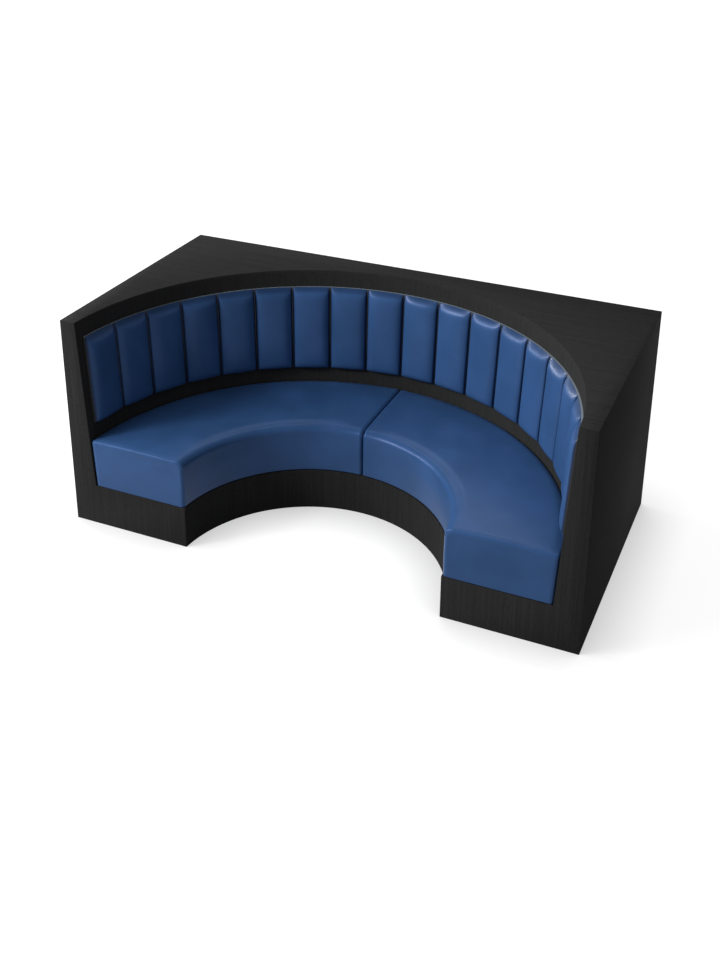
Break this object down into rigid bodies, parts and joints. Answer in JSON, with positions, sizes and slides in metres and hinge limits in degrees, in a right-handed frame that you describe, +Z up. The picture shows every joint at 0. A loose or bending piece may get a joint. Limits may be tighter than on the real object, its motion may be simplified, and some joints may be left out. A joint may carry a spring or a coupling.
{
  "type": "curved restaurant booth",
  "caption": "Boxed booth with a round bay in front, a leaning curved wall, a channelled backrest and two loose quarter-ring seat cushions.",
  "frame": {"origin": "on the floor under the middle of the case", "axes": "+X to the right of a person who faces the booth, along its width; +Y to the back of the case; +Z up"},
  "size_m": [2.5, 1.255, 1.055],
  "materials": {
    "black_stained_wood": "black-stained oak veneer, satin",
    "plywood": "bare plywood and softwood",
    "backing_edge": "painted grey edge",
    "blue_upholstery": "smooth faux leather, soft sheen",
    "fastening_tape": "woven hook and loop tape"
  },
  "bodies": {
    "case": {"top_panel": "black_stained_wood", "back_panel": "black_stained_wood", "left_side_panel": "black_stained_wood", "right_side_panel": "black_stained_wood", "left_front_panel": "black_stained_wood", "right_front_panel": "black_stained_wood", "plinth_board": "black_stained_wood", "wall_lining": "black_stained_wood", "ledger_back": "plywood", "base_rib_centre": "plywood", "wall_stud_centre": "plywood", "seat_deck_left": "plywood", "base_ribs_left": "plywood", "ledger_left": "plywood", "front_post_left": "plywood", "back_post_left": "plywood", "bottom_plate_left": "plywood", "top_plate_left": "plywood", "wall_studs_left": "plywood", "seat_deck_right": "plywood", "base_ribs_right": "plywood", "ledger_right": "plywood", "front_post_right": "plywood", "back_post_right": "plywood", "bottom_plate_right": "plywood", "top_plate_right": "plywood", "wall_studs_right": "plywood", "backing_board_left": "backing_edge", "backing_board_right": "backing_edge", "channel_pad_01": "blue_upholstery", "channel_pad_02": "blue_upholstery", "channel_pad_03": "blue_upholstery", "channel_pad_04": "blue_upholstery", "channel_pad_05": "blue_upholstery", "channel_pad_06": "blue_upholstery", "channel_pad_07": "blue_upholstery", "channel_pad_08": "blue_upholstery", "channel_pad_09": "blue_upholstery", "channel_pad_10": "blue_upholstery", "channel_pad_11": "blue_upholstery", "channel_pad_12": "blue_upholstery", "channel_pad_13": "blue_upholstery", "channel_pad_14": "blue_upholstery", "channel_pad_15": "blue_upholstery", "channel_pad_16": "blue_upholstery", "channel_pad_17": "blue_upholstery", "channel_pad_18": "blue_upholstery", "hook_strips": "fastening_tape"},
    "left_seat": {"seat_cushion_left": "blue_upholstery", "seat_base_left": "plywood", "loop_strips_left": "fastening_tape"},
    "right_seat": {"seat_cushion_right": "blue_upholstery", "seat_base_right": "plywood", "loop_strips_right": "fastening_tape"}
  },
  "joints": [
    {"name": "left_seat_slide", "type": "slide", "parent": "case", "child": "left_seat", "axis": [0, -1, 0], "range_m": [0, 0.25]},
    {"name": "right_seat_slide", "type": "slide", "parent": "case", "child": "right_seat", "axis": [0, -1, 0], "range_m": [0, 0.25]}
  ]
}
